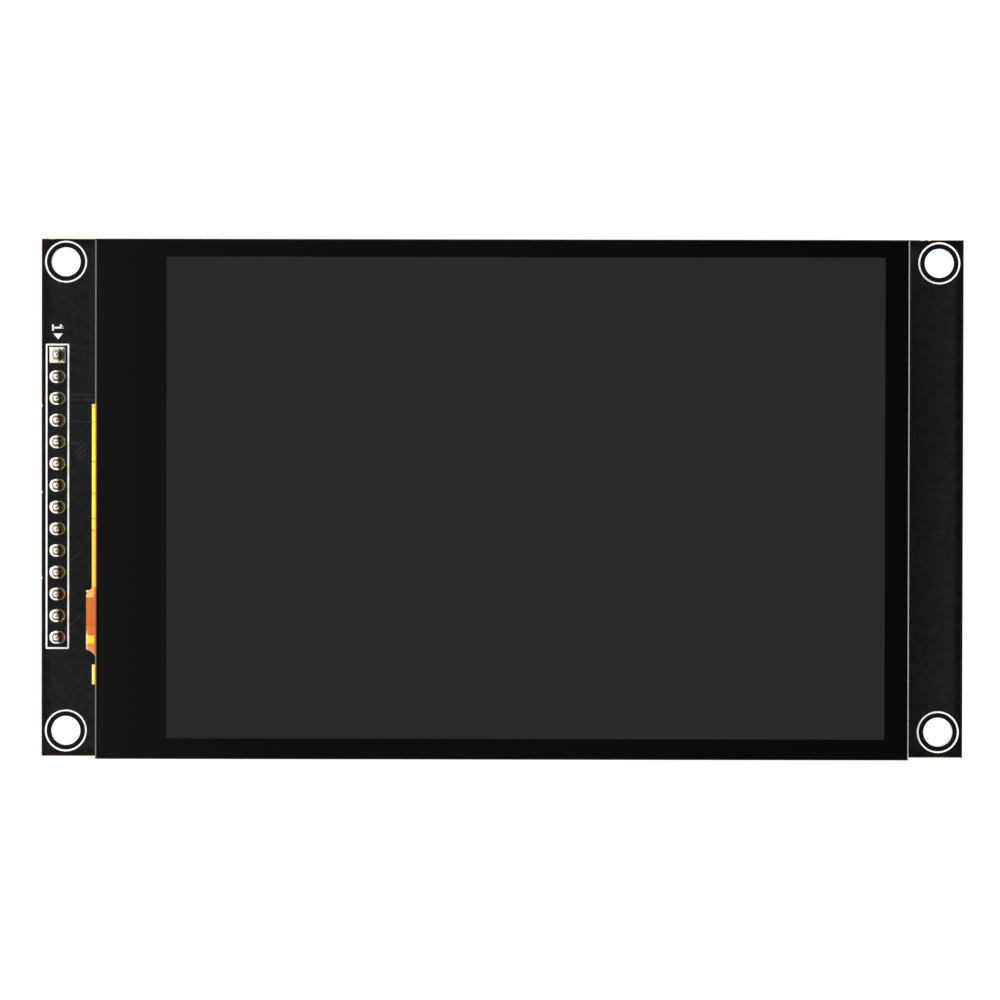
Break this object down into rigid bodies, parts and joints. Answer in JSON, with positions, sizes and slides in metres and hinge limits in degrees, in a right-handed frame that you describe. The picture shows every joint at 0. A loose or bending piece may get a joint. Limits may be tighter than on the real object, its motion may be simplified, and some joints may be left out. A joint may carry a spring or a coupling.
{
  "type": "tft display module",
  "caption": "Colour TFT display with a capacitive touch panel, bonded to a black circuit board with a soldered pin header and a memory card socket on the rear.",
  "frame": {"origin": "middle of the four mounting holes, on the board's rear face", "axes": "+Z the way the display faces, +X along the board from the pin header to the card socket, +Y up the display"},
  "size_m": [0.1076, 0.0605, 0.0152],
  "materials": {
    "board": "satin solder mask",
    "header_plastic": "matte",
    "pin_metal": "plated",
    "solder": "bright",
    "foam": "matte",
    "steel": "satin",
    "white_plastic": "matte",
    "reflector": "satin",
    "clear_plastic": "polished",
    "led": "satin",
    "film": "satin",
    "black_tape": "matte",
    "polarizer": "satin",
    "panel_glass": "polished",
    "cover_glass": "polished",
    "silicon": "polished",
    "adhesive": "clear",
    "border_ink": "black ink",
    "yellow_flex": "satin polyimide",
    "orange_flex": "satin polyimide",
    "pale_flex": "satin polyimide",
    "chip_plastic": "moulded",
    "socket_plastic": "moulded",
    "socket_steel": "satin",
    "contact_metal": "gold plated",
    "tinned": "tin plated",
    "resistor_black": "glazed",
    "capacitor_tan": "matte"
  },
  "bodies": {
    "root": {"circuit_board": "board", "header_housing": "header_plastic", "header_pins": "pin_metal", "header_solder": "solder", "foam_tape": "foam", "backlight_tray": "steel", "backlight_frame": "white_plastic", "reflector_sheet": "reflector", "light_guide": "clear_plastic", "backlight_leds": "led", "backlight_flex": "pale_flex", "diffuser_film": "film", "lower_prism_film": "film", "upper_prism_film": "film", "rim_tape": "black_tape", "rear_polarizer": "polarizer", "tft_glass": "panel_glass", "color_filter_glass": "panel_glass", "front_polarizer": "polarizer", "driver_chip": "silicon", "lcd_flex": "yellow_flex", "touch_gasket": "black_tape", "touch_sensor": "panel_glass", "clear_adhesive": "adhesive", "border_print": "border_ink", "cover_glass": "cover_glass", "touch_flex": "orange_flex", "touch_controller": "chip_plastic", "flex_solder": "solder", "card_socket_body": "socket_plastic", "card_socket_shell": "socket_steel", "card_socket_contacts": "contact_metal", "level_shifter_body": "chip_plastic", "regulator_body": "chip_plastic", "transistor_body": "chip_plastic", "chip_leads": "tinned", "resistor_bodies": "resistor_black", "capacitor_bodies": "capacitor_tan", "chip_terminals": "tinned"}
  },
  "joints": []
}
